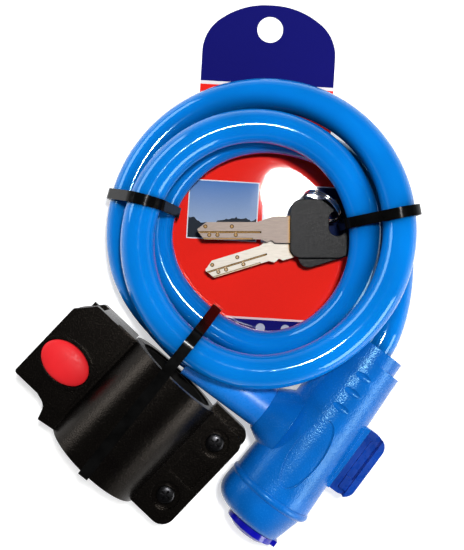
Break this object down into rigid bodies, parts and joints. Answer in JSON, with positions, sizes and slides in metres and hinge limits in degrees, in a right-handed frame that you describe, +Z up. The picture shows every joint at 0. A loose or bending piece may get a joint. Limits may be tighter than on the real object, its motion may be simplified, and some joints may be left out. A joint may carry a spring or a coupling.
{
  "type": "cable lock",
  "caption": "Coiled plastic-covered cable lock with a cylinder lock head, frame bracket and keys, tied to a display card.",
  "frame": {"origin": "on the back of the display card, under the middle of the coil", "axes": "+Z up out of the card's printed face, +Y towards the card's hang hole, +X to the card's right"},
  "size_m": [0.1796, 0.2521, 0.0496],
  "materials": {
    "azure_pvc": "glossy soft PVC over steel strands",
    "blue_abs": "satin spark-textured ABS",
    "navy_abs": "smooth moulded plastic",
    "foot_blue": "moulded plastic",
    "sleeve_blue": "soft moulded plastic",
    "black_nylon": "fine textured glass-filled nylon",
    "liner_rubber": "soft rubber",
    "red_button": "gloss moulded plastic",
    "black_acetal": "moulded plastic",
    "key_plastic": "satin moulded plastic",
    "nickel_silver": "milled and plated",
    "bright_steel": "plated",
    "black_steel": "black oxide",
    "brass": "machined",
    "cast_zinc": "die-cast zinc alloy",
    "tie_nylon": "glossy nylon",
    "printed_card": "printed and laminated card"
  },
  "bodies": {
    "lock_and_card": {"cable_coil": "azure_pvc", "lock_casing": "blue_abs", "key_end_bezel": "blue_abs", "dust_cap_pin": "bright_steel", "lock_body": "cast_zinc", "driver_pins": "brass", "pin_springs": "bright_steel", "locking_ferrule": "bright_steel", "ferrule_sleeve": "sleeve_blue", "fixed_ferrule": "bright_steel", "mount_foot": "foot_blue", "bracket_front": "black_nylon", "bracket_back": "black_nylon", "front_liner": "liner_rubber", "back_liner": "liner_rubber", "clamp_screws": "black_steel", "clamp_nuts": "bright_steel", "button_spring": "bright_steel", "socket_cover": "black_nylon", "left_tie": "tie_nylon", "key_tie": "tie_nylon", "bracket_tie": "tie_nylon", "display_card": "printed_card"},
    "plug": {"key_plug": "brass", "plug_pins": "brass", "plug_clip": "bright_steel", "cam_plate": "bright_steel"},
    "bolt": {"locking_bolt": "bright_steel"},
    "cap": {"dust_cap": "navy_abs"},
    "button": {"release_button": "red_button", "latch_hook": "black_acetal"},
    "ring": {"key_ring": "bright_steel"},
    "key_1": {"key_1_head": "key_plastic", "key_1_blade": "nickel_silver"},
    "key_2": {"key_2_head": "key_plastic", "key_2_blade": "nickel_silver"}
  },
  "joints": [
    {"name": "plug_turn", "type": "hinge", "parent": "lock_and_card", "child": "plug", "pos_m": [0.00631, -0.11721, 0.0205], "axis": [0.5962, 0.8028, 0], "range_deg": [0, 90]},
    {"name": "bolt_slide", "type": "slide", "parent": "lock_and_card", "child": "bolt", "axis": [0, 0, 1], "range_m": [0, 0.00285]},
    {"name": "dust_cap_swing", "type": "hinge", "parent": "lock_and_card", "child": "cap", "pos_m": [-0.01381, -0.12719, 0.0205], "axis": [-0.5962, -0.8028, 0], "range_deg": [0, 115]},
    {"name": "button_press", "type": "slide", "parent": "lock_and_card", "child": "button", "axis": [0, 0, -1], "range_m": [0, 0.0024], "stiffness_N_per_m": 400, "springref_m": -0.002, "deforming": ["button_spring"]},
    {"name": "ring_spin", "type": "hinge", "parent": "lock_and_card", "child": "ring", "pos_m": [0.0279, 0.0132, 0.01094], "axis": [-0.5353, -0.7314, 0.4226], "continuous": true},
    {"name": "key_1_swing", "type": "hinge", "parent": "lock_and_card", "child": "key_1", "pos_m": [0.0359, 0.00805, 0.0121], "axis": [0, 0, 1], "range_deg": [-2, 12]},
    {"name": "key_2_swing", "type": "hinge", "parent": "lock_and_card", "child": "key_2", "pos_m": [0.03452, 0.0068, 0.0082], "axis": [0, 0, 1], "range_deg": [-8, 14]}
  ],
  "couplings": [
    {"joint": "bolt_slide", "follows": "plug_turn", "m_per_rad": 0.0018006}
  ]
}
